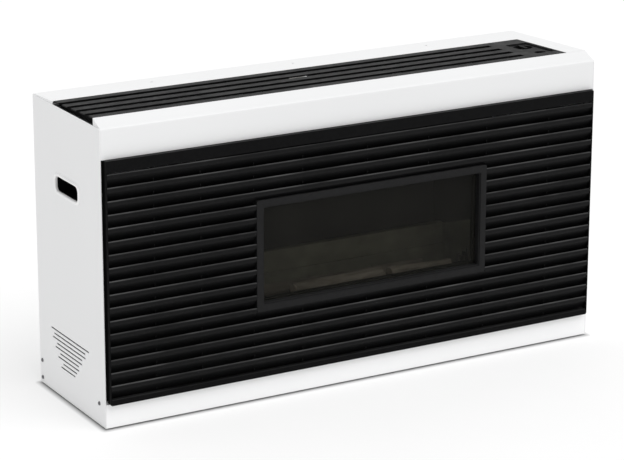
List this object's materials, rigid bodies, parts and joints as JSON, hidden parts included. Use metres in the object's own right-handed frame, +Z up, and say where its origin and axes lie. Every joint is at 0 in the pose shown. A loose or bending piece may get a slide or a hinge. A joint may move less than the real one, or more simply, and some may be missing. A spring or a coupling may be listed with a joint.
{
  "type": "wall mounted gas heater",
  "caption": "Low, wide gas heater with white steel casing, black louvred front, glazed log fire, slotted warm air outlet on top and a recessed press-and-turn control.",
  "frame": {"origin": "middle of the heater's outline, at floor level under its glides", "axes": "+X to the right of a person facing the front, +Y back to the wall, +Z up"},
  "size_m": [1.0558, 0.294, 0.5735],
  "materials": {
    "white_paint": "satin powder coat",
    "white_plastic": "satin moulded plastic",
    "black_paint": "fine satin enamel",
    "frame_paint": "satin heat resistant enamel",
    "zinc_sheet": "zinc coated sheet",
    "rubber": "matt",
    "screw_steel": "blackened",
    "fire_glass": "heat resistant glass, lightly smoked",
    "rope": "braided glass fibre rope",
    "black_plastic": "fine spark texture",
    "pointer_white": "inlaid line",
    "stainless": "mill finish",
    "brass": "turned",
    "cast_alloy": "die cast",
    "alloy_pipe": "drawn tube",
    "dark_steel": "matt stove black",
    "fire_board": "sooted fibre board",
    "ember_fibre": "sooted moulded fibre",
    "log_fibre": "painted moulded fibre",
    "copper": "drawn copper",
    "electrode_ceramic": "glazed",
    "lead_rubber": "silicone sleeve"
  },
  "bodies": {
    "heater": {"side_panel_left": "white_paint", "side_panel_right": "white_paint", "hand_rims": "white_plastic", "hand_cups": "black_plastic", "top_trim": "white_paint", "base_plinth": "white_paint", "base_pan": "zinc_sheet", "back_panel": "zinc_sheet", "top_plate": "white_paint", "wall_bracket": "zinc_sheet", "feet": "rubber", "side_screws": "screw_steel", "grille_frame": "black_paint", "louvres_upper": "black_paint", "louvres_left": "black_paint", "louvres_right": "black_paint", "louvres_lower": "black_paint", "window_frame": "frame_paint", "window_glass": "fire_glass", "glass_gasket": "rope", "top_grille": "black_paint", "control_bay": "black_plastic", "igniter_bezel": "black_plastic", "igniter_body": "black_plastic", "gas_valve": "cast_alloy", "valve_bracket": "zinc_sheet", "inlet_fitting": "brass", "inlet_bracket": "zinc_sheet", "supply_pipe": "alloy_pipe", "feed_pipe": "alloy_pipe", "injector": "brass", "injector_bracket": "zinc_sheet", "burner_tube": "stainless", "burner_bar": "stainless", "firebox": "dark_steel", "fire_front": "dark_steel", "fire_back": "fire_board", "ember_tray": "ember_fibre", "log_front_left": "log_fibre", "log_front_right": "log_fibre", "log_rear": "log_fibre", "pilot_bracket": "stainless", "pilot_burner": "stainless", "thermocouple": "copper", "spark_electrode": "electrode_ceramic", "pilot_pipe": "alloy_pipe", "ignition_lead": "lead_rubber", "flue_collector": "dark_steel", "exchanger_fins": "dark_steel", "flue_spigot": "stainless", "heat_shield": "zinc_sheet", "shield_spacers": "zinc_sheet", "air_deflector": "dark_steel", "fire_legs": "zinc_sheet"},
    "plunger": {"valve_plunger": "brass"},
    "knob": {"control_knob": "black_plastic", "knob_pointer": "pointer_white", "knob_spindle": "stainless"},
    "igniter": {"igniter_button": "black_plastic"},
    "shutter": {"air_shutter": "zinc_sheet"}
  },
  "joints": [
    {"name": "knob_press", "type": "slide", "parent": "heater", "child": "plunger", "axis": [0, 0, -1], "range_m": [0, 0.004], "stiffness_N_per_m": 1200, "springref_m": -0.004},
    {"name": "knob_turn", "type": "hinge", "parent": "plunger", "child": "knob", "pos_m": [0.451, -0.001, 0.5], "axis": [0, 0, 1], "range_deg": [0, 270]},
    {"name": "igniter_press", "type": "slide", "parent": "heater", "child": "igniter", "axis": [0, 0, -1], "range_m": [0, 0.006], "stiffness_N_per_m": 1000, "springref_m": -0.004},
    {"name": "air_shutter_turn", "type": "hinge", "parent": "heater", "child": "shutter", "pos_m": [0.316, -0.037, 0.137], "axis": [1, 0, 0], "range_deg": [0, 60]}
  ]
}
